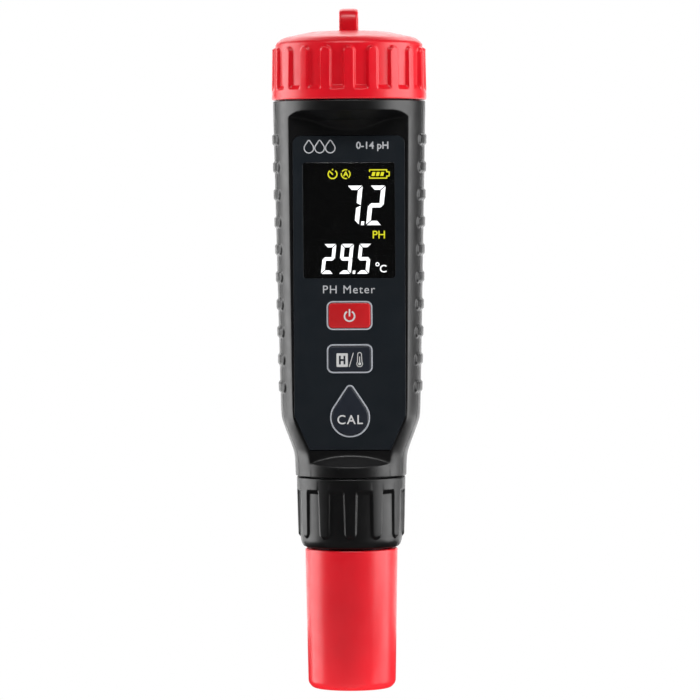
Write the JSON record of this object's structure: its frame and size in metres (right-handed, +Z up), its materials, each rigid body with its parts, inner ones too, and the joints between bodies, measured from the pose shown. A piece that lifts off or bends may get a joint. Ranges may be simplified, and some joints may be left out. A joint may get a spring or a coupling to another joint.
{
  "type": "pen-style ph meter",
  "caption": "Pen-style pH meter with a display and keys on a flat face, a screw-on battery cap, and a replaceable electrode under a push-on storage cap.",
  "frame": {"origin": "middle of the storage cap's flat bottom, where the standing pen meets the surface", "axes": "+Z up along the pen's axis towards the battery cap; the display faces -Y; +X is to the right of someone reading it"},
  "size_m": [0.041, 0.0408, 0.18],
  "materials": {
    "red_plastic": "satin moulded",
    "black_plastic": "fine satin texture",
    "overlay_film": "smooth matt printed film",
    "display_window": "polished",
    "key_red": "satin",
    "key_navy": "satin",
    "grey_plastic": "satin moulded",
    "clear_plastic": "clear moulded",
    "glass": "clear",
    "rubber": "matt",
    "circuit_board": "solder resist",
    "chip": "matt epoxy",
    "steel": "bright",
    "gold_contact": "plated",
    "silver": "drawn wire",
    "cell_wrap": "printed sleeve",
    "ceramic": "porous, matt",
    "sponge": "open-cell foam"
  },
  "bodies": {
    "housing": {"front_shell": "black_plastic", "rear_shell": "black_plastic", "front_overlay": "overlay_film", "display_lens": "display_window", "lcd_glass": "glass", "lcd_backlight": "clear_plastic", "lcd_connector_strip": "rubber", "main_board": "circuit_board", "processor_chip": "chip", "amplifier_chip": "chip", "power_switch": "chip", "hold_switch": "chip", "cal_switch": "chip", "board_screw_1": "steel", "board_screw_2": "steel", "board_screw_3": "steel", "board_screw_4": "steel", "battery_tube": "grey_plastic", "battery_carrier": "black_plastic", "cell_front_left": "cell_wrap", "cell_front_right": "cell_wrap", "cell_rear_left": "cell_wrap", "cell_rear_right": "cell_wrap", "top_contact_left": "steel", "top_contact_right": "steel", "terminal_left": "steel", "terminal_right": "steel", "bottom_contact_bridge": "steel", "contact_spring_left": "gold_contact", "contact_spring_right": "gold_contact", "probe_port": "grey_plastic", "probe_connector": "chip", "neck_o_ring": "rubber"},
    "cap_gasket": {"battery_cap_gasket": "rubber", "press_pad": "rubber"},
    "battery_cap": {"battery_cap": "red_plastic"},
    "power_key": {"power_key": "key_red", "power_plunger": "steel"},
    "hold_key": {"hold_key": "key_navy", "hold_plunger": "steel"},
    "cal_key": {"cal_key": "key_navy", "cal_plunger": "steel"},
    "electrode": {"electrode_head": "black_plastic", "plug_o_ring": "rubber", "storage_seal_o_ring": "rubber", "contact_pin_1": "gold_contact", "contact_pin_2": "gold_contact", "contact_pin_3": "gold_contact", "contact_pin_4": "gold_contact", "probe_sleeve": "clear_plastic", "glass_bulb": "glass", "silver_wire": "silver", "reference_junction": "ceramic", "temperature_sensor": "steel"},
    "lock_collar": {"lock_collar": "black_plastic"},
    "storage_cap": {"storage_cap": "red_plastic", "storage_sponge": "sponge"}
  },
  "joints": [
    {"name": "battery_cap_lift", "type": "slide", "parent": "housing", "child": "cap_gasket", "axis": [0, 0, 1], "range_m": [0, 0.012]},
    {"name": "battery_cap_turn", "type": "hinge", "parent": "cap_gasket", "child": "battery_cap", "pos_m": [0, 0, 0.162], "axis": [0, 0, 1], "range_deg": [0, 1080]},
    {"name": "power_key_press", "type": "slide", "parent": "housing", "child": "power_key", "axis": [0, 0.9997, 0.0237], "range_m": [0, 0.0004], "stiffness_N_per_m": 1500},
    {"name": "hold_key_press", "type": "slide", "parent": "housing", "child": "hold_key", "axis": [0, 0.9997, 0.0237], "range_m": [0, 0.0004], "stiffness_N_per_m": 1500},
    {"name": "cal_key_press", "type": "slide", "parent": "housing", "child": "cal_key", "axis": [0, 0.9997, 0.0237], "range_m": [0, 0.0004], "stiffness_N_per_m": 1500},
    {"name": "electrode_draw", "type": "slide", "parent": "housing", "child": "electrode", "axis": [0, 0, -1], "range_m": [0, 0.0105]},
    {"name": "collar_turn", "type": "hinge", "parent": "electrode", "child": "lock_collar", "pos_m": [0, 0, 0.047], "axis": [0, 0, -1], "range_deg": [0, 1260]},
    {"name": "storage_cap_pull", "type": "slide", "parent": "electrode", "child": "storage_cap", "axis": [0, 0, -1], "range_m": [0, 0.035]}
  ],
  "couplings": [
    {"joint": "battery_cap_lift", "follows": "battery_cap_turn", "m_per_rad": 0.0006366},
    {"joint": "electrode_draw", "follows": "collar_turn", "m_per_rad": 0.0004774}
  ]
}
